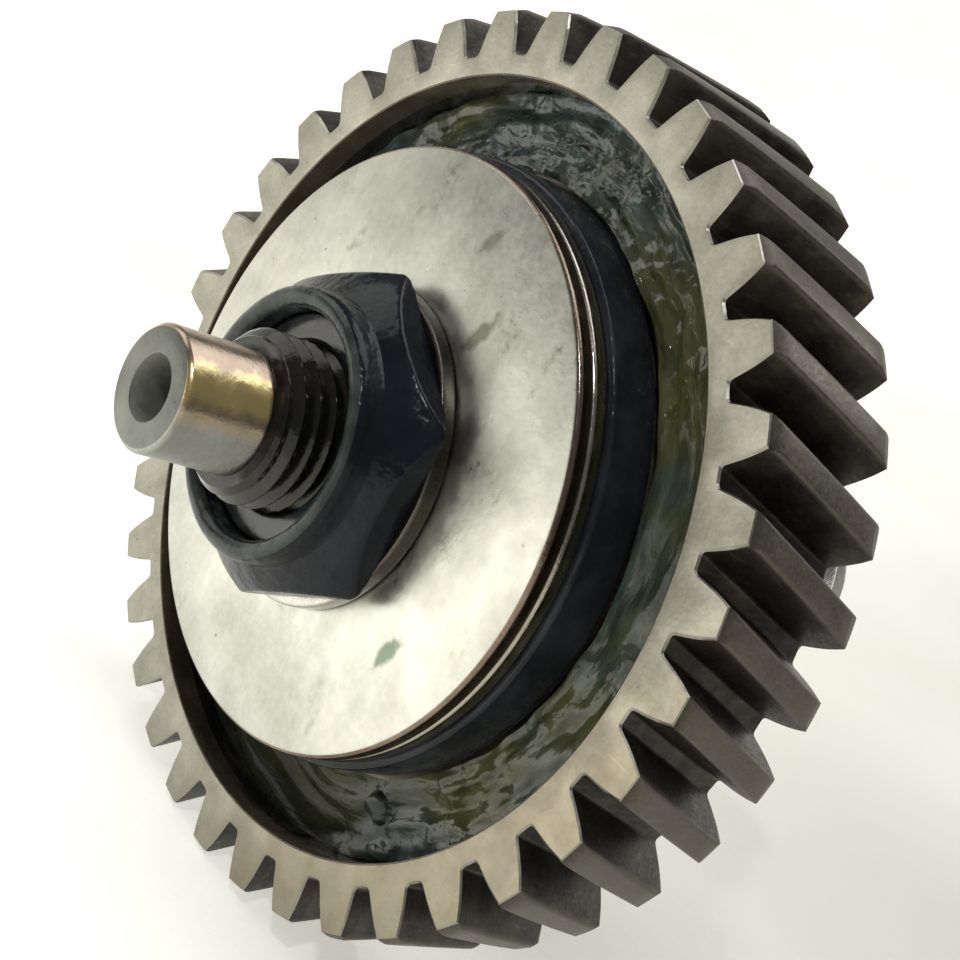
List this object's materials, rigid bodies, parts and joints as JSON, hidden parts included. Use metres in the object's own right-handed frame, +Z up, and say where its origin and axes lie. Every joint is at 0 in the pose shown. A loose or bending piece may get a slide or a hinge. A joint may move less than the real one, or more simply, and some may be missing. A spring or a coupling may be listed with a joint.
{
  "type": "slip-clutch helical gear assembly",
  "caption": "Wide helical gear gripped by a spring-loaded friction slip clutch on a stepped shaft with lock nut, front journal, rear pinion and ball bearing.",
  "frame": {"origin": "on the shaft axis, at the middle of the main gear's face width", "axes": "+Y along the shaft towards the rear bearing; the nut and the front journal point along -Y; +Z up"},
  "size_m": [0.0774, 0.0778, 0.0774],
  "materials": {
    "gear_steel": "machined and oiled, dark brown on the tooth flanks",
    "shaft_steel": "ground",
    "spring_steel": "rolled and tumbled, bright satin",
    "washer_steel": "bright",
    "black_steel": "black oxide, wet with oil",
    "bearing_steel": "ground bearing steel",
    "shield_steel": "pressed sheet",
    "cage_brass": "pressed",
    "bronze": "sintered, oil filled",
    "friction_lining": "bonded friction lining",
    "nylon": "oily dark nylon",
    "grease": "wet olive grease"
  },
  "bodies": {
    "shaft": {"clutch_shaft": "shaft_steel", "rear_friction_ring": "friction_lining", "rear_disc_spring": "spring_steel", "front_disc_spring": "spring_steel", "nut_washer": "washer_steel", "clutch_nut": "black_steel", "nut_insert": "nylon", "output_pinion": "gear_steel", "pinion_key": "washer_steel", "bearing_spacer": "washer_steel", "bearing_inner_ring": "bearing_steel", "bearing_circlip": "black_steel"},
    "gear": {"main_gear": "gear_steel", "gear_bush": "bronze", "grease_ring": "grease"},
    "plate": {"pressure_plate": "black_steel", "front_friction_ring": "friction_lining"},
    "bearing_outer": {"bearing_outer_ring": "bearing_steel", "bearing_front_shield": "shield_steel", "bearing_rear_shield": "shield_steel"},
    "bearing_cage": {"bearing_cage": "cage_brass", "bearing_balls": "bearing_steel"}
  },
  "joints": [
    {"name": "gear_slip", "type": "hinge", "parent": "shaft", "child": "gear", "pos_m": [0, 0, 0], "axis": [0, 1, 0], "continuous": true},
    {"name": "plate_lift", "type": "slide", "parent": "shaft", "child": "plate", "axis": [0, -1, 0], "range_m": [0, 0.0006], "stiffness_N_per_m": 2000, "springref_m": -0.002, "deforming": ["front_disc_spring", "rear_disc_spring"]},
    {"name": "bearing_spin", "type": "hinge", "parent": "shaft", "child": "bearing_outer", "pos_m": [0, 0.03256, 0], "axis": [0, 1, 0], "continuous": true},
    {"name": "cage_spin", "type": "hinge", "parent": "shaft", "child": "bearing_cage", "pos_m": [0, 0.03256, 0], "axis": [0, 1, 0], "continuous": true}
  ],
  "couplings": [
    {"joint": "cage_spin", "follows": "bearing_spin", "ratio": 0.592}
  ]
}
